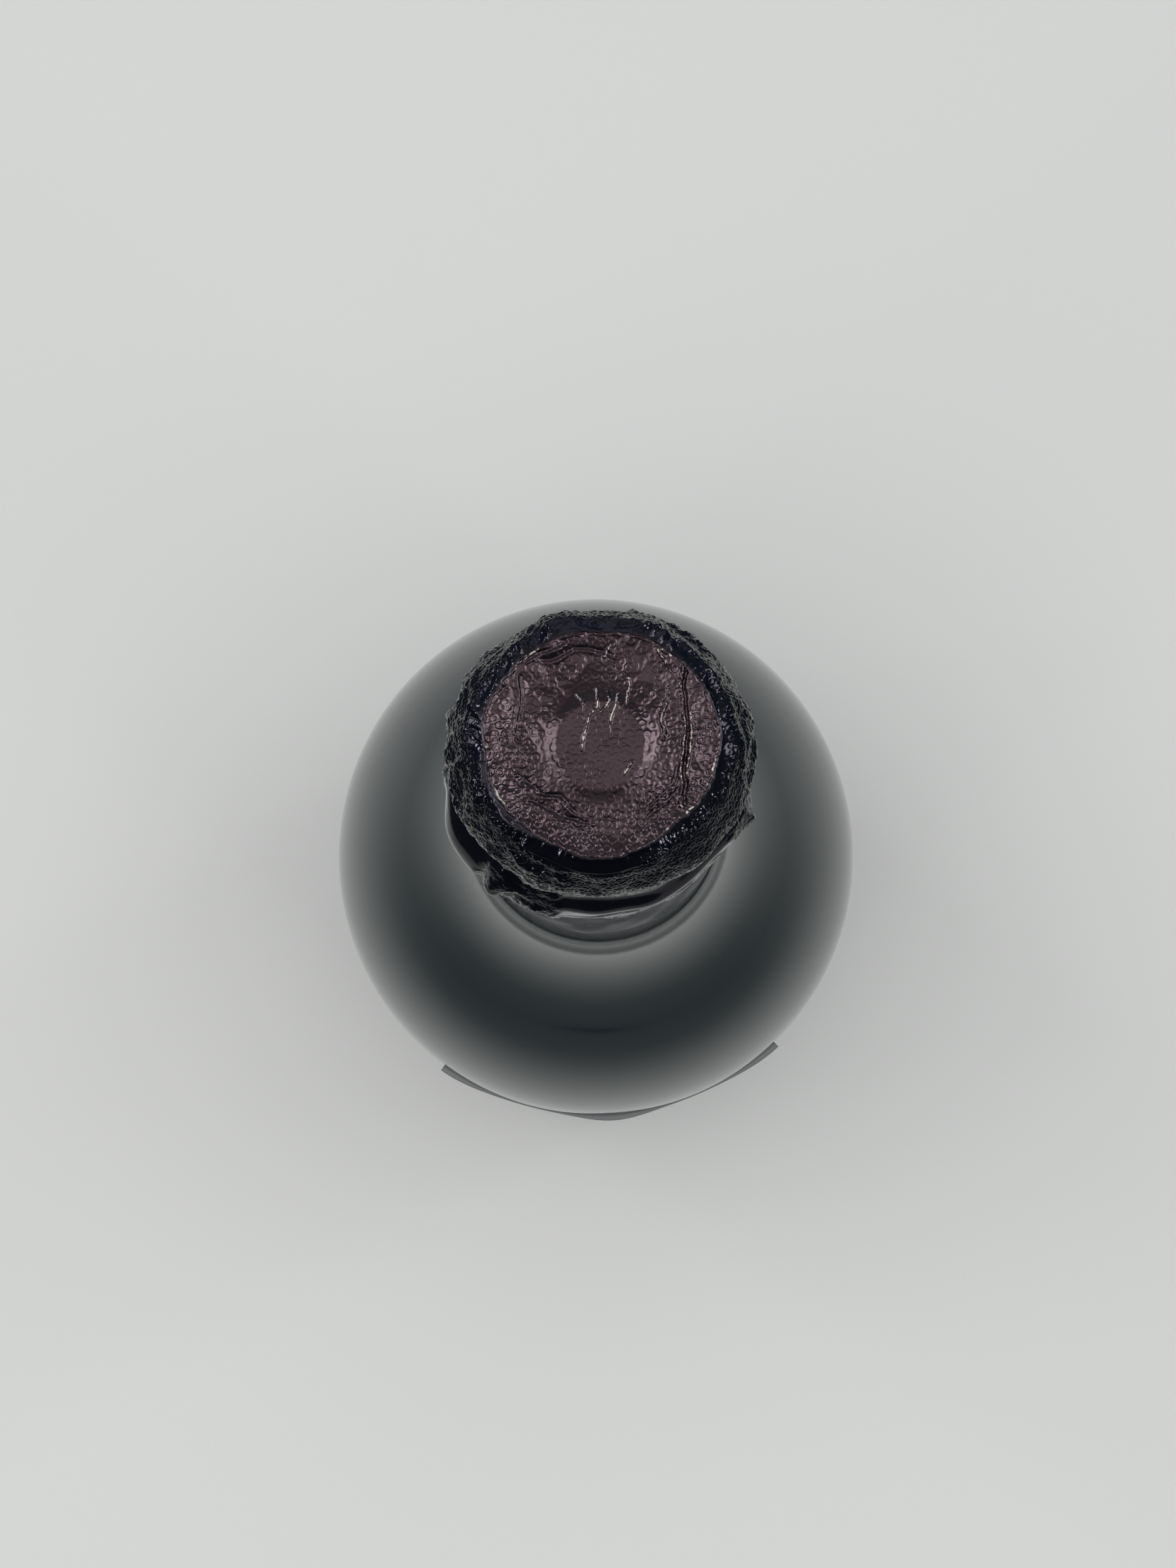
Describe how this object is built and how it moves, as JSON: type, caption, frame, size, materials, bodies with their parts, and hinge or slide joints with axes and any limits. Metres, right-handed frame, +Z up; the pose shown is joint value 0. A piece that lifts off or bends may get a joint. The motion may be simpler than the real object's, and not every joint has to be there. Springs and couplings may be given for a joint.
{
  "type": "sparkling wine bottle",
  "caption": "Upright shut bottle of sparkling wine in dark glass, with a punt, a crumpled foil hood over a caged stopper and a plain front label.",
  "frame": {"origin": "centre of the foot, on the table", "axes": "+Z up along the bottle, -Y towards the front, where the label is, +X to the right"},
  "size_m": [0.0884, 0.0896, 0.32],
  "materials": {
    "dark_glass": "very dark green glass, polished, opaque when full",
    "foil": "dark aubergine lacquered foil, embossed with small round bubbles and crumpled",
    "label": "plain grey matt paper, no print"
  },
  "bodies": {
    "root": {"bottle": "dark_glass", "foil_hood": "foil", "front_label": "label"}
  },
  "joints": []
}
